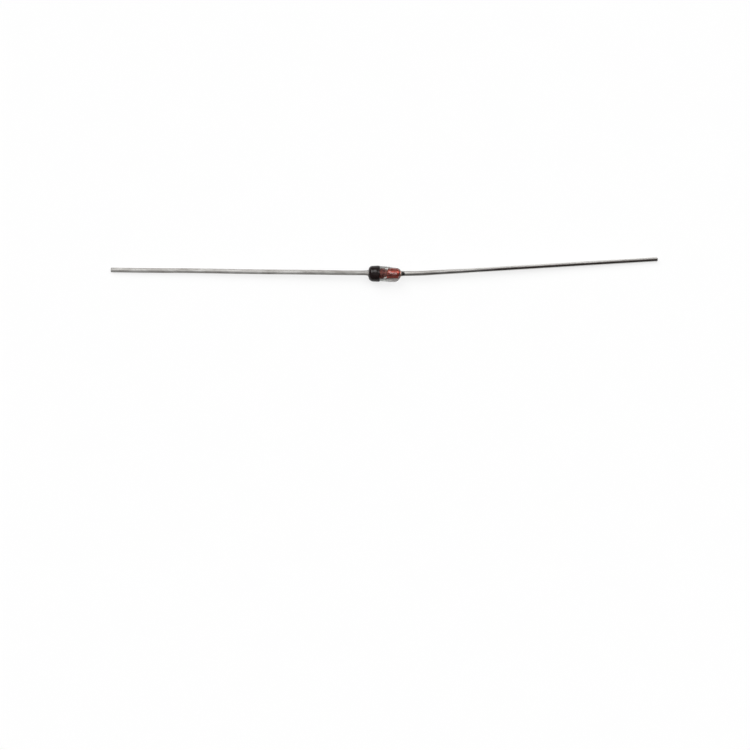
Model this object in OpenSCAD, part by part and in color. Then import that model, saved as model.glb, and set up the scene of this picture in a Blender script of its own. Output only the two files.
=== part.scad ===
// Axial-lead zener diode in a sealed glass sleeve, lying on a flat surface.
// The diode runs along X, with its banded cathode end at -X. Z is up and Z = 0 is
// the surface it lies on. The origin is on that surface, under the middle of the glass.
// The glass and the tips of both leads touch the surface. Lengths are in millimetres.

/* [Glass sleeve] */
// Outside diameter of the glass
glass_d = 1.6; // [1.5:0.05:2]
// Length of the glass, end to end
glass_l = 3.3; // [3:0.1:4.2]
// Depth that the fire-polished shoulders draw the glass in, at most what the wall allows
shoulder = 0.38; // [0.1:0.01:0.4]
// Length of the shoulder at the cathode end
cathode_round = 0.42; // [0.4:0.02:0.8]
// Length of the shoulder at the anode end
anode_round = 0.6; // [0.4:0.02:0.8]
// Height that the glass creeps along each slug where it seals
creep = 0.04; // [0.02:0.01:0.05]
// Depth of the pocket that stays open in the glass around the die
pocket_depth = 0.03; // [0.02:0.01:0.1]
// Length that this pocket runs back over each slug
pocket_over = 0.06; // [0.05:0.01:0.2]

/* [Slugs] */
// Diameter of the two slugs that the glass is sealed to
slug_d = 0.74; // [0.68:0.02:0.9]
// Length of each slug that stands out of the glass
slug_out = 0.08; // [0.08:0.01:0.3]
// Chamfer on the edges of the slugs
slug_chamfer = 0.03; // [0.01:0.01:0.03]

/* [Die] */
// Distance of the die from the middle of the glass, towards the anode
die_at = 0.15; // [-0.3:0.05:0.3]
// Side of the square silicon die
die_side = 0.44; // [0.26:0.01:0.46]
// Thickness of the die
die_t = 0.12; // [0.1:0.01:0.25]
// Diameter of the silver bump that meets the anode slug
bump_d = 0.24; // [0.22:0.01:0.26]
// Height of that bump
bump_h = 0.04; // [0.03:0.01:0.1]

/* [Leads] */
// Diameter of the lead wire
lead_d = 0.5; // [0.4:0.02:0.56]
// Length of each lead from the end of the glass to its tip
lead_l = 27.2; // [20:0.2:38]
// Diameter of the weld flare where a lead joins its slug
weld_d = 0.58; // [0.58:0.01:0.66]
// Length of the weld flare
weld_l = 0.45; // [0.3:0.05:0.6]
// Length of the straight rim of the weld flare
weld_rim = 0.06; // [0.02:0.01:0.1]
// Chamfer that the cutter leaves on each lead tip
tip_chamfer = 0.05; // [0.02:0.01:0.1]
// Distance from the end of the glass to the corner of the bend in each lead
bend_at = 2; // [1.8:0.1:6]
// Length of the bend on each side of its corner
bend_l = 1; // [0.5:0.1:1.4]
// Angle that the cathode lead splays towards +Y
cathode_splay = 0.75; // [-8:0.05:8]
// Angle that the anode lead splays towards +Y
anode_splay = 3.5; // [-8:0.05:8]

/* [Cathode band] */
// Width of the ink band, from the cathode end of the glass
band_w = 1.15; // [0.9:0.05:1.6]
// Thickness of the ink
band_t = 0.02; // [0.01:0.005:0.04]

/* [Hidden] */
wire_fn = 64;
bend_steps = 8;
$fn = wire_fn;
ANODE = 1;
CATHODE = -1;
glass_r = glass_d / 2;
glass_half = glass_l / 2;
slug_r = slug_d / 2;
lead_r = lead_d / 2;
bump_r = bump_d / 2;
weld_r = weld_d / 2;
// The shoulders stop short of the glass that creeps along the slugs
draw_in = min(shoulder, glass_r - slug_r - creep);
// Height of the diode's axis when it lies on its ink band
axis_z = glass_r + band_t;
// The die and its bump fill the gap between the slugs
gap_half = (die_t + bump_h) / 2;
// Straight length of a lead from the corner of its bend to its tip
run_l = lead_l - bend_at;
// Angle that a lead drops from its bend so that the underside of its tip meets the surface
droop = asin(axis_z / norm([run_l, lead_r])) - atan2(lead_r, run_l);

// Sets a piece that is built along +Z from the middle of the glass on the diode's axis,
// with its +Z towards the anode or the cathode.
module on_axis(side = ANODE) {
    translate([0, 0, axis_z])
        mirror([side == CATHODE ? 1 : 0, 0, 0])
            rotate([0, 90, 0])
                children();
}

// Half section of what a shoulder takes off the glass: all that lies outside one arc, which
// leaves the side of the glass smoothly. Skin is added to the glass before it is rounded.
module shoulder_section(round_l, skin) {
    bow_r = (round_l * round_l + draw_in * draw_in) / (2 * draw_in);
    translate([glass_r, glass_half - round_l])
        translate([-bow_r, 0])
            difference() {
                square([2 * bow_r, 2 * round_l]);
                circle(r = bow_r + skin);
            }
}

// Half section of the solid glass along Y, with its cathode end at -Y, grown by a skin.
module outline_section(skin = 0) {
    difference() {
        translate([0, -glass_half - 2 * skin])
            square([glass_r + skin, glass_l + 4 * skin]);
        shoulder_section(anode_round, skin);
        mirror([0, 1])
            shoulder_section(cathode_round, skin);
    }
}

// Half section of the glass that creeps along the slugs at both ends.
module creep_section() {
    for (end = [0, 1])
        mirror([0, end])
            translate([slug_r, glass_half])
                difference() {
                    square(creep);
                    translate([creep, creep])
                        circle(r = creep);
                }
}

// Half section of the pocket around the die: an arc that bows outward from the slugs.
module pocket_section() {
    half = gap_half + pocket_over;
    bow_r = (half * half + pocket_depth * pocket_depth) / (2 * pocket_depth);
    translate([slug_r + pocket_depth - bow_r, die_at])
        circle(r = bow_r);
}

module glass_sleeve() {
    color([0.80, 0.84, 0.80, 0.4])
        on_axis()
            rotate_extrude()
                difference() {
                    union() {
                        outline_section();
                        creep_section();
                    }
                    translate([0, -glass_l])
                        square([slug_r, 2 * glass_l]);
                    pocket_section();
                }
}

// The ink follows the glass from the inner edge of the cathode shoulder.
module cathode_band() {
    color([0.10, 0.09, 0.09])
        on_axis()
            rotate_extrude()
                difference() {
                    intersection() {
                        outline_section(band_t);
                        translate([glass_r - draw_in, -glass_half - 2 * band_t])
                            square([draw_in + band_t, band_w + 2 * band_t]);
                    }
                    outline_section();
                }
}

module slug(side) {
    rim = slug_r - slug_chamfer;
    start = gap_half + side * die_at;
    slug_l = glass_half + slug_out - start;
    color([0.52, 0.20, 0.15])
        on_axis(side)
            translate([0, 0, start])
                rotate_extrude()
                    polygon([
                        [0, 0], [rim, 0], [slug_r, slug_chamfer],
                        [slug_r, slug_l - slug_chamfer], [rim, slug_l], [0, slug_l]
                    ]);
}

module cathode_slug() {
    slug(CATHODE);
}

module anode_slug() {
    slug(ANODE);
}

// The back of the die lies on the cathode slug.
module zener_die() {
    color([0.27, 0.28, 0.32])
        on_axis()
            translate([-die_side / 2, -die_side / 2, die_at - gap_half])
                cube([die_side, die_side, die_t]);
}

// A button with a rounded edge and a flat top that is pressed on the anode slug.
module contact_bump() {
    flat_r = bump_r - bump_h;
    color([0.78, 0.78, 0.76])
        on_axis()
            translate([0, 0, die_at + die_t - gap_half])
                rotate_extrude() {
                    square([flat_r, bump_h]);
                    translate([flat_r, 0])
                        intersection() {
                            square(bump_h);
                            circle(r = bump_h);
                        }
                }
}

// Half section of a lead's root: the weld flare and the straight wire up to the bend.
module root_section(root_l) {
    flare_l = weld_l - weld_rim;
    step = weld_r - lead_r;
    flare_r = (flare_l * flare_l + step * step) / (2 * step);
    square([lead_r, root_l]);
    difference() {
        square([weld_r, weld_l]);
        translate([lead_r, weld_l])
            translate([flare_r, 0])
                circle(r = flare_r);
    }
}

// Half section of the straight wire from the bend to the chamfered tip.
module tip_section(tip_l) {
    polygon([
        [0, 0], [lead_r, 0], [lead_r, tip_l - tip_chamfer],
        [lead_r - tip_chamfer, tip_l], [0, tip_l]
    ]);
}

// The bent stretch of a lead, which starts at the origin: the part of a ring that lies
// between the level plane and the start plane of the tip run.
module bend(turn) {
    bend_r = bend_l / tan(turn / 2);
    room = 2 * lead_d;
    ring_fn = floor(bend_steps * 360 / turn);
    intersection() {
        translate([bend_r, 0, 0])
            rotate([90, 0, 0])
                rotate_extrude(angle = 2 * turn, start = 180 - 1.5 * turn, $fn = ring_fn)
                    translate([bend_r, 0])
                        circle(r = lead_r, $fn = wire_fn);
        translate([-room / 2, -room / 2, 0])
            cube([room, room, 3 * bend_l]);
        past_bend(turn)
            translate([-room / 2, -room / 2, -3 * bend_l])
                cube([room, room, 3 * bend_l]);
    }
}

// Sets a piece that is built along +Z on the end of a bend that starts at the origin.
module past_bend(turn) {
    translate([0, 0, bend_l])
        rotate([0, turn, 0])
            translate([0, 0, bend_l])
                children();
}

// A lead that starts on the outer face of its slug and turns once, sideways by splay
// and down by droop. The turn lies in one plane, which is rolled about the axis.
module lead(side, splay) {
    turn = acos(cos(droop) * cos(splay));
    roll = atan2(cos(droop) * sin(splay), sin(droop));
    root_l = bend_at - bend_l - slug_out;
    color([0.72, 0.71, 0.69])
        on_axis(side)
            translate([0, 0, glass_half + slug_out])
                rotate(roll) {
                    rotate_extrude()
                        root_section(root_l);
                    translate([0, 0, root_l]) {
                        bend(turn);
                        past_bend(turn)
                            rotate_extrude()
                                tip_section(run_l - bend_l);
                    }
                }
}

module cathode_lead() {
    lead(CATHODE, cathode_splay);
}

module anode_lead() {
    lead(ANODE, anode_splay);
}

glass_sleeve();
cathode_band();
cathode_slug();
anode_slug();
zener_die();
contact_bump();
cathode_lead();
anode_lead();
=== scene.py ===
"""An axial-lead zener diode lying on a pale floor, seen from straight above.

Every length is in millimetres unless a name or comment says otherwise. Meshes are scaled to
metres when they are made. X runs along the diode from cathode to anode, and Z is up."""
import math

import bmesh
import bpy
from mathutils import Matrix, Vector, noise


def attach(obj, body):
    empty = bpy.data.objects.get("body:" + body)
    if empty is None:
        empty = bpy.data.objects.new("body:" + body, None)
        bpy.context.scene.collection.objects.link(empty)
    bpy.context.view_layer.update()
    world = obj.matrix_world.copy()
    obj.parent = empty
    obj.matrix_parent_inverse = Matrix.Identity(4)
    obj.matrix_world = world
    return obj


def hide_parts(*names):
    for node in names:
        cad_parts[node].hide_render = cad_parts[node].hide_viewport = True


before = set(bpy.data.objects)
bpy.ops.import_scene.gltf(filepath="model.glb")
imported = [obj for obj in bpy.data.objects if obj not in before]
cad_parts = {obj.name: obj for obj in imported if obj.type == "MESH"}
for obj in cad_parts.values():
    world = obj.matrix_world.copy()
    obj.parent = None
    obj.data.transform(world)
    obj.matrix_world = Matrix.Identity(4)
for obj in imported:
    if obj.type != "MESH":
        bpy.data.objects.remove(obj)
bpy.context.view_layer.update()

MM = 0.001
BODY = "root"
ANODE = 1
CATHODE = -1

# Sizes, as in the CAD model
GLASS_R = 0.8
GLASS_HALF = 1.65
DRAW_IN = 0.38
CATHODE_ROUND = 0.42
ANODE_ROUND = 0.6
CREEP = 0.04
POCKET_DEPTH = 0.03
POCKET_OVER = 0.06
SLUG_R = 0.37
SLUG_OUT = 0.08
SLUG_CHAMFER = 0.03
DIE_AT = 0.15
DIE_SIDE = 0.44
DIE_T = 0.12
BUMP_R = 0.12
BUMP_H = 0.04
LEAD_R = 0.25
LEAD_L = 27.2
WELD_R = 0.29
WELD_L = 0.45
WELD_RIM = 0.06
TIP_CHAMFER = 0.05
BEND_AT = 2.0
BEND_L = 1.0
CATHODE_SPLAY = 0.75
ANODE_SPLAY = 3.5
BAND_W = 1.15
BAND_T = 0.02
GAP_HALF = (DIE_T + BUMP_H) / 2
AXIS_Z = GLASS_R + BAND_T
# Distance of the band's edge from the middle of the glass
BAND_EDGE = GLASS_HALF - BAND_W
# Radius that parts the bore of the glass from its outside
BORE_LIMIT = SLUG_R + 2 * POCKET_DEPTH

# Small departures of this one diode from the CAD model

# Depth that sealed faces sink into each other, so that light goes from one piece to the next
SINK = 0.003
# Angle that the anode slug is turned about the die, towards -Y
SLUG_SKEW = math.radians(1.5)
# Most that the glass leans towards -Y, and the length from the band over which it gets there
LEAN = 0.085
LEAN_RUN = 1.3
# Most that the glass is drawn in at +Y near the anode, and the start and length of that stretch
DRAWN = 0.11
DRAWN_FROM = 0.4
DRAWN_RUN = 1.4
GLASS_RIPPLE = 0.004
# Distance that the pocket lies askew along X, and the distance from the die where that ends
POCKET_SKEW = 0.1
POCKET_REACH = 0.6
# Length of the ink's feathered edge, and points on it as shares of that length and of BAND_T
FEATHER = 0.05
FEATHER_POINTS = ((0.08, 0.3), (0.4, 0.8))
# Long and short waves of the ink's edge, and the distance from the edge where they end
EDGE_WAVE = 0.035
EDGE_WAVELET = 0.012
EDGE_REACH = 0.25
# Height of the crown that the ink has on top, its distance from the ink's edge and half its width
CROWN = 0.045
CROWN_AT = 0.24
CROWN_HALF = 0.5
# What the ink lacks on top beside its crown, its unevenness there, and what it gains at -Y
INK_THIN = 0.012
INK_RIPPLE = 0.012
INK_SAG = 0.03
# Height and width of the step that the saw left round the die, and the round of the die's edges
SAW_STEP = 0.05
SAW_KERF = 0.012
DIE_EDGE = 0.004
# Distance that the cathode lead is welded off the axis, towards +Y
WELD_SHIFT = 0.07
# What a weld is smaller by where it meets its slug, and the lumps on it
WELD_EDGE = 0.012
WELD_LUMP = 0.03
# Most that a lead strays sideways and up, and the lengths from its root and tip where it is straighter
KINK_ASIDE = 0.035
KINK_UP = 0.02
ROOT_EASE = 6.0
TIP_EASE = 4.0
# Unevenness of the wire, and how quickly it changes round the wire and along it
WIRE_GRAIN = 0.003
GRAIN_ROUND = 0.9
GRAIN_ALONG = 0.8
# Points on the nipped tip of a lead, and what its end face is smaller by, as shares of TIP_CHAMFER
NIP_POINTS = (1.0, 0.45, 0.0)
NIP_END = 0.8

# Segments round the pieces, and steps along the stretches of a lead
GLASS_SEGMENTS = 128
SLUG_SEGMENTS = 96
BUMP_SEGMENTS = 64
LEAD_SEGMENTS = 40
FLARE_STEPS = 10
BEND_STEPS = 12
RUN_STEPS = 120
# Share of the straight root of a lead at which a point follows the weld
ROOT_POINT = 0.75

CORNERS = ((-1, -1), (1, -1), (1, 1), (-1, 1))
# Vertices closer than this many metres are one
MERGE_WITHIN = 1e-8
# Edges that turn by more degrees than this are shaded as sharp
SHARP_DEG = 40
DIE_SHARP_DEG = 20


# Meshes

def add_mesh(name, verts, faces, sharp_deg=SHARP_DEG):
    """A smooth-shaded object from vertices in mm, with its normals outward."""
    mesh = bpy.data.meshes.new(name)
    mesh.from_pydata([Vector(v) * MM for v in verts], [], faces)
    bm = bmesh.new()
    bm.from_mesh(mesh)
    bmesh.ops.remove_doubles(bm, verts=bm.verts, dist=MERGE_WITHIN)
    bmesh.ops.recalc_face_normals(bm, faces=bm.faces)
    bm.to_mesh(mesh)
    bm.free()
    mesh.polygons.foreach_set("use_smooth", [True] * len(mesh.polygons))
    mesh.set_sharp_from_angle(angle=math.radians(sharp_deg))
    obj = bpy.data.objects.new(name, mesh)
    bpy.context.scene.collection.objects.link(obj)
    return obj


def arc(x, r, radius, start, end, steps):
    """Points of an arc in the (x, r) half plane, with angles in degrees from +x."""
    angles = [math.radians(start + (end - start) * k / steps) for k in range(steps + 1)]
    return [(x + radius * math.cos(a), r + radius * math.sin(a)) for a in angles]


def line(start, end, steps):
    """Evenly spaced points after start, up to and with end."""
    return [
        tuple(a + (b - a) * k / steps for a, b in zip(start, end))
        for k in range(1, steps + 1)
    ]


def turn(name, profile, segments, ring=False, wander=None):
    """A shape turned about the diode's axis from (x, r) points. A ring's profile is a loop.
    wander moves a point: it takes x, r and the angle from +Y, and gives x and r."""
    verts = []
    faces = []
    n = len(profile)
    for k in range(segments):
        phi = math.tau * k / segments
        for x, r in profile:
            if wander:
                x, r = wander(x, r, phi)
            verts.append((x, r * math.cos(phi), AXIS_Z + r * math.sin(phi)))
    for k in range(segments):
        a = k * n
        b = (k + 1) % segments * n
        for i in range(n if ring else n - 1):
            j = (i + 1) % n
            faces.append((a + i, a + j, b + j, b + i))
    return add_mesh(name, verts, faces)


def tube_faces(rings, sides):
    """Faces between rings of vertices, which follow each other, and on both ends."""
    faces = []
    last = (rings - 1) * sides
    for low in range(0, last, sides):
        high = low + sides
        for k in range(sides):
            after = (k + 1) % sides
            faces.append((low + k, low + after, high + after, high + k))
    return faces + [tuple(range(sides)), tuple(range(last, last + sides))]


def mirrored(profile, side):
    """The (x, r) points as they are for the anode, and with x turned round for the cathode."""
    return [(x * side, r) for x, r in profile]


def clamp(value):
    """The value, kept from 0 to 1."""
    return min(1.0, max(0.0, value))


def ripple(phi, x, seed, size, round_waves=1.7, long_waves=2.3):
    """A smooth wander of at most about size, from the place on the diode."""
    spot = Vector((math.cos(phi) * round_waves + seed, math.sin(phi) * round_waves, x * long_waves))
    return size * noise.noise(spot)


# Materials

GLASS_IOR = 1.52
# Most values of a noise lie in this range
NOISE_RANGE = (0.3, 0.7)
# Colours of the slug ends that stand out of the glass, and the distances past it where they set in
CATHODE_END = (0.50, 0.49, 0.475)
ANODE_END = (0.74, 0.42, 0.34)
END_FROM = 0.01
END_FULL = 0.05
# Painted shade: the cathode slug's colour is darkened, standing for the shade on it beside the band.
# The anode slug has none.
CATHODE_PAINTED_SHADE = 0.4
ANODE_PAINTED_SHADE = 1.0
# Factors on the roughness of each lead's tin, which change between two places along X
CATHODE_POLISH = {"start": -20.0, "end": -4.0, "before": 1.4, "after": 1.5}
ANODE_POLISH = {"start": 3.0, "end": 8.0, "before": 1.1, "after": 0.6}
# Shares of the painted highlight and of the painted dark stripe of shade along the anode lead
PAINTED_HIGHLIGHT_SHARE = {"start": 5.5, "end": 9.5, "before": 0.0, "after": 0.85}
PAINTED_SHADE_STRIPE = {"start": 2.0, "end": 12.0, "before": 0.5, "after": 1.0}
# Distances from the middle of the wire where that painted dark stripe comes in and goes out
STRIPE_IN = (-0.25, -0.14)
STRIPE_OUT = (0.05, 0.14)
# The dark patch on the anode weld is full up to the inner radius and gone past the outer one, with a
# ragged edge
DARK_PATCH_AT = (1.96, -0.01, AXIS_Z + 0.2)
DARK_PATCH_INNER = 0.13
DARK_PATCH_OUTER = 0.26
DARK_PATCH_RAGGED = 0.06
# Distances from the axis along Y where the smoke and painted shade of the pocket starts to thin, ends,
# and the glass is clear
SMOKE_SHADE_THINS = 0.22
SMOKE_SHADE_ENDS = 0.36
SMOKE_SHADE_CLEAR = 0.39
# Clearness where the smoke and painted shade ends, and what is added to it where the glass is clear
SMOKE_SHADE_THIN = 0.42
SMOKE_SHADE_GONE = 0.55


class Tree:
    """Adds nodes to a node tree."""

    def __init__(self, tree):
        self.tree = tree

    def feed(self, socket, value):
        """Links a node's output to a socket, or sets the socket to a constant."""
        if isinstance(value, bpy.types.NodeSocket):
            self.tree.links.new(value, socket)
        else:
            socket.default_value = value

    def node(self, kind, **inputs):
        made = self.tree.nodes.new("ShaderNode" + kind)
        for key, value in inputs.items():
            self.feed(made.inputs[key.replace("_", " ")], value)
        return made

    def math(self, operation, *values):
        made = self.node("Math")
        made.operation = operation
        for socket, value in zip(made.inputs, values):
            self.feed(socket, value)
        return made.outputs[0]

    def spread(self, value, source, target):
        """A value taken from one range to another, and kept within it."""
        made = self.node(
            "MapRange",
            Value=value,
            From_Min=source[0],
            From_Max=source[1],
            To_Min=target[0],
            To_Max=target[1],
        )
        return made.outputs["Result"]


class Material(Tree):
    """Builds one material round a Principled shader."""

    def __init__(self, name, **values):
        self.material = bpy.data.materials.new(name)
        self.material.use_nodes = True
        super().__init__(self.material.node_tree)
        self.shader = self.tree.nodes["Principled BSDF"]
        for socket, value in values.items():
            self.shader.inputs[socket.replace("_", " ")].default_value = value
        self.place = self.node("TexCoord").outputs["Object"]

    def link(self, output, socket):
        self.tree.links.new(output, self.shader.inputs[socket])

    def noise(self, scale, detail=3.0, roughness=0.55):
        """Noise with so many waves per mm along X, Y and Z."""
        spot = self.node("Mapping", Vector=self.place, Scale=[s / MM for s in scale]).outputs[0]
        made = self.node("TexNoise", Vector=spot, Scale=1.0, Detail=detail, Roughness=roughness)
        return made.outputs["Fac"]

    def ramp(self, value, *stops):
        """A colour ramp from (place, colour) stops. A number stands for a grey."""
        made = self.node("ValToRGB", Fac=value)
        ends = made.color_ramp.elements
        while len(ends) < len(stops):
            ends.new(0.5)
        for end, (place, colour) in zip(ends, stops):
            grey = isinstance(colour, (int, float))
            end.position = place
            end.color = (colour, colour, colour, 1) if grey else (*colour, 1)
        return made.outputs["Color"]

    def mix(self, factor, a, b, blend="MIX"):
        made = self.node("Mix")
        made.data_type = "RGBA"
        made.blend_type = blend
        sockets = [s for s in made.inputs if s.enabled]
        for socket, value in zip(sockets, (factor, a, b)):
            self.feed(socket, (*value, 1) if isinstance(value, tuple) else value)
        return next(s for s in made.outputs if s.enabled)

    def bump(self, height, strength, depth):
        """Relief of the given depth in mm."""
        made = self.node("Bump", Height=height, Strength=strength, Distance=depth * MM)
        self.link(made.outputs[0], "Normal")

    def along(self, axis, place=None):
        """The place along one axis, in metres."""
        spot = self.place if place is None else place
        return self.node("SeparateXYZ", Vector=spot).outputs[axis]

    def step(self, place, start, end, before=0.0, after=1.0):
        """A value that goes from before to after between two places, in mm."""
        return self.spread(place, (start * MM, end * MM), (before, after))

    def fade(self, start, end, before, after):
        """A value that goes from before to after between two places along X, in mm."""
        return self.step(self.along("X"), start, end, before, after)

    def near(self, centre, inner, outer, ragged):
        """1 within inner of a point and 0 beyond outer, in mm. The edge wanders by ragged."""
        gap = self.node("VectorMath", Vector=self.place)
        gap.operation = "DISTANCE"
        gap.inputs[1].default_value = Vector(centre) * MM
        wander = self.spread(self.noise((6.0, 6.0, 6.0)), NOISE_RANGE, (-ragged * MM, ragged * MM))
        edge = self.math("ADD", gap.outputs["Value"], wander)
        return self.step(edge, inner, outer, before=1.0, after=0.0)


def glass_material():
    """Drawn glass tube: clear, with faint draw lines and a few scuffs."""
    m = Material("clear_glass", IOR=GLASS_IOR, Transmission_Weight=1.0, Specular_IOR_Level=0.3)
    cloud = m.noise((0.8, 0.8, 0.8), detail=2.0)
    scuffs = m.noise((3.0, 3.0, 3.0), detail=5.0)
    greenish = (0.87, 0.895, 0.86)
    clear = (0.89, 0.905, 0.88)
    m.link(m.ramp(cloud, (0.35, greenish), (0.65, clear)), "Base Color")
    m.link(m.spread(scuffs, (0.55, 0.8), (0.0, 0.06)), "Roughness")
    m.bump(m.noise((0.5, 5.0, 5.0), detail=2.0), strength=0.12, depth=0.004)
    return m.material


def smoke_and_shade_material():
    """Brown smoke that sealing left on the glass of the pocket, in patches, which is also painted shade
    of the gap between the slugs. It thins out towards the sides of the diode, where the glass is clear."""
    m = Material("smoked_and_shaded_glass", IOR=GLASS_IOR, Specular_IOR_Level=0.1)
    patches = m.noise((7.0, 7.0, 7.0), detail=4.0)
    dark_brown = (0.10, 0.022, 0.015)
    light_brown = (0.26, 0.072, 0.055)
    clear_tint = (0.85, 0.81, 0.77)
    # The brown is smoke and painted shade, laid over the gap between the slugs
    smoke_and_shade_colour = m.ramp(patches, (0.35, dark_brown), (0.65, light_brown))
    flank = m.math("ABSOLUTE", m.along("Y"))
    clear = m.step(flank, SMOKE_SHADE_ENDS, SMOKE_SHADE_CLEAR, after=SMOKE_SHADE_GONE)
    thin = m.math("ADD", m.step(flank, SMOKE_SHADE_THINS, SMOKE_SHADE_ENDS, after=SMOKE_SHADE_THIN), clear)
    m.link(m.mix(thin, smoke_and_shade_colour, clear_tint), "Base Color")
    m.link(thin, "Transmission Weight")
    dull = m.spread(patches, NOISE_RANGE, (0.25, 0.45))
    gloss = m.spread(clear, (0.0, SMOKE_SHADE_GONE), (1.0, 0.05))
    m.link(m.math("MULTIPLY", dull, gloss), "Roughness")
    m.bump(patches, strength=0.2, depth=0.004)
    return m.material


def ink_material():
    """Baked black ink with a satin face and fine pores."""
    m = Material("black_ink", Specular_IOR_Level=0.22)
    cloud = m.noise((4.0, 4.0, 4.0), detail=5.0)
    pores = m.noise((28.0, 28.0, 28.0), detail=3.0)
    black = (0.007, 0.0038, 0.0036)
    brown_black = (0.016, 0.0092, 0.0088)
    m.link(m.ramp(cloud, (0.3, black), (0.7, brown_black)), "Base Color")
    m.link(m.spread(cloud, NOISE_RANGE, (0.08, 0.24)), "Roughness")
    m.bump(pores, strength=0.25, depth=0.003)
    return m.material


def slug_material(name, side, painted_shade, end_colour):
    """Red oxide on copper-clad wire, with drawn lines and darker patches, darkened as a whole by
    painted shade. The end that stands out of the glass has a colour of its own."""
    m = Material(name, Metallic=0.9, Coat_Weight=0.3, Coat_Roughness=0.15)
    lines = m.noise((0.9, 16.0, 16.0), detail=4.0)
    patches = m.noise((2.6, 2.6, 2.6), detail=4.0)
    dark_red = (0.21, 0.021, 0.011)
    red = (0.34, 0.042, 0.023)
    copper = (0.48, 0.10, 0.065)
    oxide = m.ramp(lines, (0.3, dark_red), (0.55, red), (0.75, copper))
    # Random darker patches, multiplied by a painted shade factor for the whole slug
    patches_and_painted_shade = m.ramp(patches, (0.35, 0.45 * painted_shade), (0.6, painted_shade))
    outside = m.fade(side * (GLASS_HALF + END_FROM), side * (GLASS_HALF + END_FULL), 0.0, 1.0)
    m.link(m.mix(outside, m.mix(1.0, oxide, patches_and_painted_shade, "MULTIPLY"), end_colour), "Base Color")
    m.link(m.spread(lines, NOISE_RANGE, (0.26, 0.40)), "Roughness")
    m.bump(lines, strength=0.25, depth=0.006)
    return m.material


def painted_highlight_and_shade(m, colour):
    """Painted light on the tin of the anode lead: a painted highlight brightens it away from the glass,
    and a dark stripe of painted shade runs along it.
    """
    # bright is the colour of the painted highlight, dark that of the painted shade
    bright = (0.95, 0.94, 0.92)
    dark = (0.065, 0.056, 0.052)
    on_wire = m.node(
        "Mapping",
        Vector=m.place,
        Location=Vector((GLASS_HALF + BEND_AT, 0.0, 0.0)) * MM,
        Rotation=(0, 0, math.radians(ANODE_SPLAY)),
    )
    on_wire.vector_type = "TEXTURE"
    across = m.along("Y", on_wire.outputs[0])
    coming_in = m.step(across, *STRIPE_IN)
    going_out = m.step(across, *STRIPE_OUT, before=1.0, after=0.0)
    shade_stripe = m.math("MULTIPLY", coming_in, going_out)
    colour = m.mix(m.fade(**PAINTED_HIGHLIGHT_SHARE), colour, bright)
    return m.mix(m.math("MULTIPLY", shade_stripe, m.fade(**PAINTED_SHADE_STRIPE)), colour, dark)


def dark_weld_patch(m, colour):
    """A dark patch with a ragged edge on the weld of the anode lead."""
    near_black = (0.022, 0.019, 0.018)
    return m.mix(m.near(DARK_PATCH_AT, DARK_PATCH_INNER, DARK_PATCH_OUTER, DARK_PATCH_RAGGED), colour, near_black)


def wire_material(name, polish, *marks):
    """Tin plating on drawn wire. polish is a fade of its roughness along X, and each mark
    changes its colour."""
    m = Material(name, Metallic=1.0)
    lines = m.noise((0.35, 13.0, 13.0), detail=4.0)
    patches = m.noise((0.55, 2.0, 2.0), detail=5.0)
    scratches = m.noise((1.2, 45.0, 45.0), detail=2.0)
    dark_tin = (0.42, 0.41, 0.395)
    tin = (0.54, 0.53, 0.515)
    light_tin = (0.68, 0.67, 0.65)
    dull = (0.66, 0.645, 0.63)
    drawn = m.ramp(lines, (0.25, dark_tin), (0.5, tin), (0.75, light_tin))
    colour = m.mix(1.0, drawn, m.ramp(patches, (0.35, dull), (0.6, 1.0)), "MULTIPLY")
    for mark in marks:
        colour = mark(m, colour)
    m.link(colour, "Base Color")
    rough = m.spread(lines, NOISE_RANGE, (0.42, 0.6))
    m.link(m.math("MULTIPLY", rough, m.fade(**polish)), "Roughness")
    m.bump(m.math("MULTIPLY_ADD", scratches, 0.4, lines), strength=0.4, depth=0.006)
    return m.material


def silicon_material():
    """Sawn silicon: dark grey-blue with fine saw lines."""
    m = Material("sawn_silicon", IOR=2.2)
    saw = m.noise((60.0, 4.0, 4.0), detail=2.0)
    dark = (0.02, 0.021, 0.025)
    light = (0.07, 0.073, 0.085)
    m.link(m.ramp(saw, (0.3, dark), (0.7, light)), "Base Color")
    m.link(m.spread(saw, NOISE_RANGE, (0.25, 0.5)), "Roughness")
    m.bump(saw, strength=0.3, depth=0.003)
    return m.material


def silver_material():
    """Plated silver with a fine grain."""
    m = Material("plated_silver", Metallic=1.0)
    grain = m.noise((40.0, 40.0, 40.0), detail=3.0)
    dull = (0.70, 0.69, 0.66)
    bright = (0.88, 0.87, 0.84)
    m.link(m.ramp(grain, (0.3, dull), (0.7, bright)), "Base Color")
    m.link(m.spread(grain, NOISE_RANGE, (0.22, 0.38)), "Roughness")
    m.bump(grain, strength=0.3, depth=0.003)
    return m.material


# Pieces

def shoulder_arc(round_l, skin=0.0):
    """The arc from the end of the glass to its side, grown by a skin, as (x, r)."""
    bow_r = (round_l ** 2 + DRAW_IN ** 2) / (2 * DRAW_IN)
    end = math.degrees(math.atan2(bow_r - DRAW_IN, round_l))
    return arc(GLASS_HALF - round_l, GLASS_R - bow_r, bow_r + skin, end, 90, steps=18)


def glass_end(round_l):
    """The glass from the tip of the creep round a shoulder to the middle, as (x, r)."""
    points = arc(GLASS_HALF + CREEP, SLUG_R + CREEP, CREEP, -90, -180, steps=8)
    points += shoulder_arc(round_l)
    return points + line(points[-1], (0.0, GLASS_R), steps=14)


def pocket_arc(bore_r):
    """The bow of the glass round the die, from -x to +x, as (x, r)."""
    half = GAP_HALF + POCKET_OVER
    bow_r = (half ** 2 + POCKET_DEPTH ** 2) / (2 * POCKET_DEPTH)
    centre = SLUG_R + POCKET_DEPTH - bow_r
    span = math.degrees(math.acos((bore_r - centre) / bow_r))
    return arc(DIE_AT, centre, bow_r, 90 + span, 90 - span, steps=16)


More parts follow.
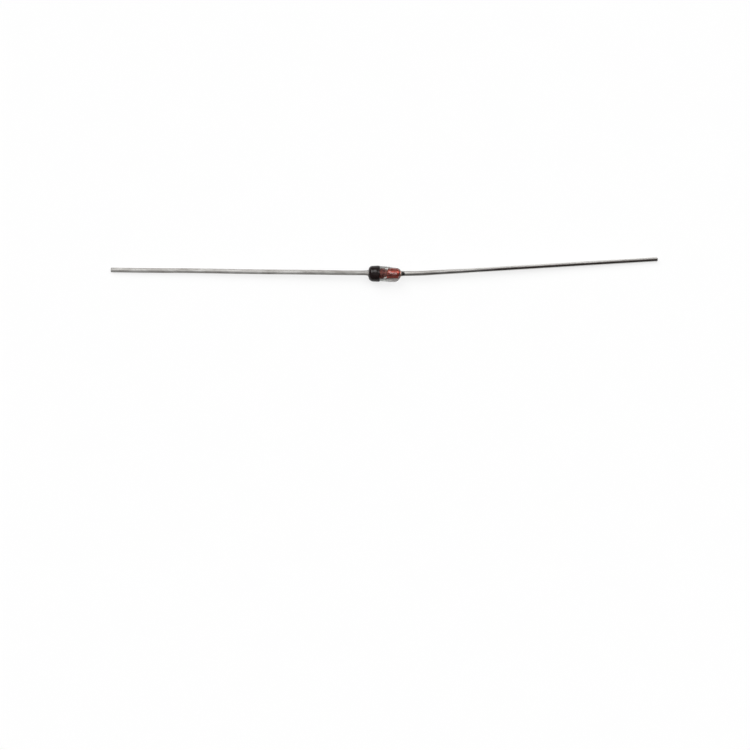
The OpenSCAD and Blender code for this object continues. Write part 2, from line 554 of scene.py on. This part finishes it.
def uneven_outside(x, r, phi):
    """A point on the outside of the glass, which leans to -Y towards the anode, is drawn in at +Y
    there and has a faint ripple."""
    share = (r - SLUG_R) / (GLASS_R - SLUG_R)
    way = clamp((x + BAND_EDGE) / LEAN_RUN)
    lean = LEAN * way * way * (3 - 2 * way) * share * math.cos(phi)
    drawn = math.sin(math.pi * clamp((x - DRAWN_FROM) / DRAWN_RUN)) ** 2
    drawn *= DRAWN * min(1.0, 2 * share) * (1 + math.cos(phi)) / 2
    return x, r + ripple(phi, x, seed=3.0, size=GLASS_RIPPLE) - lean - drawn


def skewed_bore(x, r, phi):
    """A point on the bore of the glass, which follows the turned anode slug. Its pocket lies
    askew round the die."""
    near_die = max(0.0, 1 - abs(x - DIE_AT) / POCKET_REACH)
    aside = math.tan(SLUG_SKEW) * max(0.0, x - DIE_AT) * math.cos(phi)
    return x + near_die * POCKET_SKEW * math.cos(phi), r - aside


def glass_sleeve():
    """The sleeve. The faces of its pocket take a second material."""
    bore_r = SLUG_R - SINK
    anode_tip = (GLASS_HALF + CREEP, bore_r)
    cathode_tip = (-GLASS_HALF - CREEP, bore_r)
    pocket = pocket_arc(bore_r)
    loop = glass_end(ANODE_ROUND) + mirrored(glass_end(CATHODE_ROUND)[-2::-1], CATHODE)
    loop += [cathode_tip] + line(cathode_tip, pocket[0], steps=10)
    loop += pocket[1:] + line(pocket[-1], anode_tip, steps=10)

    def wander(x, r, phi):
        return uneven_outside(x, r, phi) if r > BORE_LIMIT else skewed_bore(x, r, phi)

    sleeve = turn("glass", loop, GLASS_SEGMENTS, ring=True, wander=wander)
    for face in sleeve.data.polygons:
        x, y, z = face.center / MM
        near_die = abs(x - DIE_AT) < GAP_HALF + POCKET_OVER + POCKET_SKEW
        face.material_index = int(near_die and math.hypot(y, z - AXIS_Z) < BORE_LIMIT)
    return sleeve


def uneven_ink(x, r, phi):
    """A point of the ink, whose edge is wavy. Its outside is crowned on top and thicker at -Y."""
    place = abs(x)
    near_edge = max(0.0, 1 - abs(place - BAND_EDGE) / EDGE_REACH)
    wave = ripple(phi, x=0.4, seed=11.0, size=EDGE_WAVE)
    wave += ripple(phi * 3, x=1.9, seed=5.0, size=EDGE_WAVELET)
    swell = 0.0
    if r > GLASS_R:
        off_crown = min(1.0, abs(place - (BAND_EDGE + CROWN_AT)) / CROWN_HALF)
        swell = CROWN * math.cos(math.pi / 2 * off_crown) ** 2 - INK_THIN
        swell += ripple(phi * 2, x * 1.5, seed=8.0, size=INK_RIPPLE)
        swell *= (1 + math.sin(phi)) / 2
        swell += INK_SAG * max(0.0, -math.cos(phi)) ** 2
    return x + near_edge * wave, r + swell


def cathode_band():
    """The ink, from its feathered edge to the end of the shoulder and back along the glass."""
    inner = GLASS_R - SINK
    outer = GLASS_R + BAND_T
    side = GLASS_HALF - CATHODE_ROUND
    loop = [(BAND_EDGE, inner)]
    loop += [(BAND_EDGE + way * FEATHER, GLASS_R + share * BAND_T) for way, share in FEATHER_POINTS]
    loop += line((BAND_EDGE + FEATHER, outer), (side, outer), steps=24)
    loop += shoulder_arc(CATHODE_ROUND, BAND_T)[-2:0:-1]
    loop += shoulder_arc(CATHODE_ROUND, 0.5 * BAND_T)[:1]
    loop += shoulder_arc(CATHODE_ROUND, -SINK)
    loop += line((side, inner), (BAND_EDGE, inner), steps=12)[:-1]
    return turn("band", mirrored(loop, CATHODE), GLASS_SEGMENTS, ring=True, wander=uneven_ink)


def slug(name, side, skew):
    """A slug with rounded edges, turned about the die towards -Y by an angle."""
    near = GAP_HALF + side * DIE_AT
    far = GLASS_HALF + SLUG_OUT
    rim = SLUG_R - SLUG_CHAMFER
    profile = [(near, 0.0)] + line((near, 0.0), (near, rim), steps=4)
    profile += arc(near + SLUG_CHAMFER, rim, SLUG_CHAMFER, 180, 90, steps=5)
    profile += line((near + SLUG_CHAMFER, SLUG_R), (far - SLUG_CHAMFER, SLUG_R), steps=16)
    profile += arc(far - SLUG_CHAMFER, rim, SLUG_CHAMFER, 90, 0, steps=5)[1:]
    profile += line((far, rim), (far, 0.0), steps=4)
    made = turn(name, mirrored(profile, side), SLUG_SEGMENTS)
    pivot = Matrix.Translation(Vector((DIE_AT, 0.0, AXIS_Z)) * MM)
    made.data.transform(pivot @ Matrix.Rotation(-skew, 4, "Z") @ pivot.inverted())
    return made


def zener_die():
    """A square die with a sawn step round its front edge."""
    back = DIE_AT - GAP_HALF
    sawn = DIE_SIDE - 2 * SAW_KERF
    layers = [(0.0, DIE_SIDE), (DIE_T - SAW_STEP, DIE_SIDE), (DIE_T - SAW_STEP, sawn), (DIE_T, sawn)]
    verts = []
    for height, width in layers:
        verts += [(back + height, y * width / 2, AXIS_Z + z * width / 2) for y, z in CORNERS]
    die = add_mesh("die", verts, tube_faces(len(layers), len(CORNERS)), DIE_SHARP_DEG)
    soften = die.modifiers.new("edges", "BEVEL")
    soften.width = DIE_EDGE * MM
    soften.segments = 2
    return die


def contact_bump():
    """A button with a rounded edge on the front of the die."""
    base = DIE_AT + DIE_T - GAP_HALF
    profile = [(base - SINK, 0.0), (base - SINK, BUMP_R)]
    profile += arc(base, BUMP_R - BUMP_H, BUMP_H, 90, 0, steps=10)
    profile += [(base + BUMP_H, 0.0)]
    return turn("bump", profile, BUMP_SEGMENTS)


def lead_path(side, splay):
    """Points along the middle of a lead with the direction there, from its slug to its tip,
    and the length run so far: straight, round one bend, and straight to the surface."""
    run = LEAD_L - BEND_AT
    droop = math.asin(AXIS_Z / math.hypot(run, LEAD_R)) - math.atan2(LEAD_R, run)
    level = math.cos(droop)
    splay = math.radians(splay)
    out = Vector((side, 0, 0))
    away = Vector((side * level * math.cos(splay), level * math.sin(splay), -math.sin(droop)))
    start = Vector((side * (GLASS_HALF + SLUG_OUT), 0, AXIS_Z))
    corner = Vector((side * (GLASS_HALF + BEND_AT), 0, AXIS_Z))
    first = corner - out * BEND_L
    last = corner + away * BEND_L
    tip = corner + away * run
    angle = out.angle(away)
    bend_r = BEND_L / math.tan(angle / 2)
    inward = (away - out * out.dot(away)).normalized()
    centre = first + inward * bend_r

    flare = [WELD_RIM + (WELD_L - WELD_RIM) * k / FLARE_STEPS for k in range(1, FLARE_STEPS + 1)]
    points = [(start + out * s, out) for s in [0.0, WELD_RIM / 3, WELD_RIM] + flare]
    points.append((start.lerp(first, ROOT_POINT), out))
    for k in range(BEND_STEPS + 1):
        a = angle * k / BEND_STEPS
        points.append((
            centre - inward * bend_r * math.cos(a) + out * bend_r * math.sin(a),
            out * math.cos(a) + inward * math.sin(a),
        ))
    points += [(last.lerp(tip, k / RUN_STEPS), away) for k in range(1, RUN_STEPS)]
    points += [(tip - away * (share * TIP_CHAMFER), away) for share in NIP_POINTS]
    lengths = [0.0]
    for (a, _), (b, _) in zip(points, points[1:]):
        lengths.append(lengths[-1] + (b - a).length)
    return points, lengths


def lead_radius(s, total):
    """The radius of a lead of some total length, at the length s from its slug."""
    if s == 0:
        return WELD_R - WELD_EDGE
    if s <= WELD_RIM:
        return WELD_R
    if s < WELD_L:
        flare_l = WELD_L - WELD_RIM
        step = WELD_R - LEAD_R
        flare_r = (flare_l ** 2 + step ** 2) / (2 * step)
        return LEAD_R + flare_r - math.sqrt(flare_r ** 2 - (WELD_L - s) ** 2)
    nip = max(0.0, TIP_CHAMFER - (total - s))
    return LEAD_R - nip * (1.0 if s < total else NIP_END)


def wire_noise(s, seed, waves, row):
    """Noise along a wire, with so many waves per mm."""
    return noise.noise(Vector((s * waves, seed, row)))


def wire_grain(phi, s, seed):
    """The unevenness of a wire, at an angle and a length."""
    spot = Vector((math.cos(phi) * GRAIN_ROUND, math.sin(phi) * GRAIN_ROUND + seed, s * GRAIN_ALONG))
    return WIRE_GRAIN * noise.noise(spot)


def lead(name, side, splay, shift, seed):
    """A drawn wire with a lumpy weld flare at its root, slight kinks and a nipped tip. It lies
    off the diode's axis by shift, along Y."""
    points, lengths = lead_path(side, splay)
    total = lengths[-1]
    verts = []
    for (middle, along), s in zip(points, lengths):
        across = Vector((0, 0, 1)).cross(along).normalized()
        up = along.cross(across)
        free = min(1.0, s / ROOT_EASE) * min(1.0, (total - s) / TIP_EASE)
        aside = across * free * KINK_ASIDE * wire_noise(s, seed, waves=0.16, row=0.5)
        upward = up * free * KINK_UP * wire_noise(s, seed, waves=0.2, row=4.5)
        middle = middle + Vector((0, shift, 0)) + aside + upward
        radius = lead_radius(s, total)
        lump = WELD_LUMP * max(0.0, 1 - s / WELD_L)
        for k in range(LEAD_SEGMENTS):
            phi = math.tau * k / LEAD_SEGMENTS
            bulge = ripple(phi, s, seed, lump, round_waves=1.3, long_waves=4.0)
            reach = radius + bulge + wire_grain(phi, s, seed)
            verts.append(middle + (across * math.cos(phi) + up * math.sin(phi)) * reach)
    return add_mesh(name, verts, tube_faces(len(points), LEAD_SEGMENTS))


def set_piece(obj, node, slot, *materials):
    """Puts a finished piece in the place of its CAD node."""
    for material in materials:
        obj.data.materials.append(material)
    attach(obj, BODY)
    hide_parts(node)


def build_diode():
    set_piece(glass_sleeve(), "glass_sleeve", "glass", glass_material(), smoke_and_shade_material())
    set_piece(cathode_band(), "cathode_band", "band_ink", ink_material())
    cathode_copper = slug_material("red_copper_cathode", CATHODE, CATHODE_PAINTED_SHADE, CATHODE_END)
    anode_copper = slug_material("red_copper_anode", ANODE, ANODE_PAINTED_SHADE, ANODE_END)
    set_piece(slug("slug_cathode", CATHODE, 0.0), "cathode_slug", "red_copper", cathode_copper)
    set_piece(slug("slug_anode", ANODE, SLUG_SKEW), "anode_slug", "red_copper", anode_copper)
    set_piece(zener_die(), "zener_die", "silicon", silicon_material())
    set_piece(contact_bump(), "contact_bump", "silver", silver_material())
    cathode_wire = lead("wire_cathode", CATHODE, CATHODE_SPLAY, WELD_SHIFT, seed=2.0)
    cathode_tin = wire_material("wire_cathode_tin", CATHODE_POLISH)
    set_piece(cathode_wire, "cathode_lead", "tinned_wire", cathode_tin)
    anode_wire = lead("wire_anode", ANODE, ANODE_SPLAY, 0.0, seed=7.0)
    anode_tin = wire_material("wire_anode_tin", ANODE_POLISH, painted_highlight_and_shade, dark_weld_patch)
    set_piece(anode_wire, "anode_lead", "tinned_wire", anode_tin)


# Studio

# Width of the picture in pixels, its scale, and the place on the floor at its middle
PIXELS = 750
PIXELS_PER_MM = 9.5
VIEW_CENTRE = (-0.99, -10.68)
CAMERA_HEIGHT = 300.0
SENSOR = 36.0
# The nearest and farthest that the camera sees, in metres
CLIP_START = 0.005
CLIP_END = 20.0
FLOOR_HALF = 1500.0
FLOOR_WHITE = 0.95
FLOOR_GRAIN = 0.01
WHITE = (1, 1, 1, 1)
# Share of plain white in what the camera sees of the floor. It sees the sky as plain white.
FLOOR_GLOW = 0.8
# Share of plain white in what metal and glass show of the floor, and metal of the sky
MIRRORED_GLOW = 0.1
# What glass shows of the white sky beyond that share
GLASS_GLOW = 0.2
# Strength of the sky as a light
SKY = 0.06
# Direction a light comes from, its strength and the angle it spans in degrees
LIGHTS = {
    "window": ((-0.40, 0.56, 0.72), 1.9, 42),
    "lamp": ((0.38, 0.34, 0.86), 1.1, 36),
    "softbox": ((0.0, 0.45, 0.89), 0.8, 100),
}


def build_camera():
    data = bpy.data.cameras.new("camera")
    data.sensor_width = SENSOR
    data.lens = SENSOR * CAMERA_HEIGHT / (PIXELS / PIXELS_PER_MM)
    data.clip_start = CLIP_START
    data.clip_end = CLIP_END
    camera = bpy.data.objects.new("camera", data)
    camera.location = Vector((*VIEW_CENTRE, CAMERA_HEIGHT + AXIS_Z)) * MM
    bpy.context.scene.collection.objects.link(camera)
    bpy.context.scene.camera = camera


def paper_material():
    """White paper that glows for the camera, and a little for metal and glass."""
    paper = Material("white_paper", Roughness=0.9, Specular_IOR_Level=0.1)
    grain = paper.noise((0.2, 0.2, 0.2))
    white = paper.ramp(grain, (0.3, FLOOR_WHITE - FLOOR_GRAIN), (0.7, FLOOR_WHITE + FLOOR_GRAIN))
    paper.link(white, "Base Color")
    rays = paper.node("LightPath").outputs
    mirrored_ray = paper.math("MAXIMUM", rays["Is Glossy Ray"], rays["Is Transmission Ray"])
    mirrored_share = paper.math("MULTIPLY", mirrored_ray, MIRRORED_GLOW)
    share = paper.math("MULTIPLY_ADD", rays["Is Camera Ray"], FLOOR_GLOW, mirrored_share)
    glow = paper.node("Emission", Color=WHITE, Strength=1.0)
    both = paper.node("MixShader", Fac=share)
    paper.feed(both.inputs[1], paper.shader.outputs[0])
    paper.feed(both.inputs[2], glow.outputs[0])
    paper.feed(paper.tree.nodes["Material Output"].inputs["Surface"], both.outputs[0])
    return paper.material


def build_floor():
    floor = add_mesh("floor", [(x * FLOOR_HALF, y * FLOOR_HALF, 0) for x, y in CORNERS], [(0, 1, 2, 3)])
    floor.data.materials.append(paper_material())


def build_sky():
    """A faint, even light from all round, which the camera sees as white."""
    world = bpy.data.worlds.new("studio")
    world.use_nodes = True
    nodes = Tree(world.node_tree)
    rays = nodes.node("LightPath").outputs
    seen = nodes.math("MULTIPLY_ADD", rays["Is Transmission Ray"], GLASS_GLOW, rays["Is Camera Ray"])
    shown = nodes.math("MULTIPLY_ADD", rays["Is Glossy Ray"], MIRRORED_GLOW, seen)
    background = world.node_tree.nodes["Background"]
    nodes.feed(background.inputs["Color"], WHITE)
    nodes.feed(background.inputs["Strength"], nodes.spread(shown, (0.0, 1.0), (SKY, 1.0)))
    bpy.context.scene.world = world


def build_lights():
    for name, (source, strength, span) in LIGHTS.items():
        data = bpy.data.lights.new(name, "SUN")
        data.energy = strength
        data.angle = math.radians(span)
        light = bpy.data.objects.new(name, data)
        light.rotation_euler = Vector(source).to_track_quat("Z", "Y").to_euler()
        bpy.context.scene.collection.objects.link(light)


build_diode()
build_camera()
build_floor()
build_sky()
build_lights()
bpy.context.scene.view_settings.view_transform = "Standard"
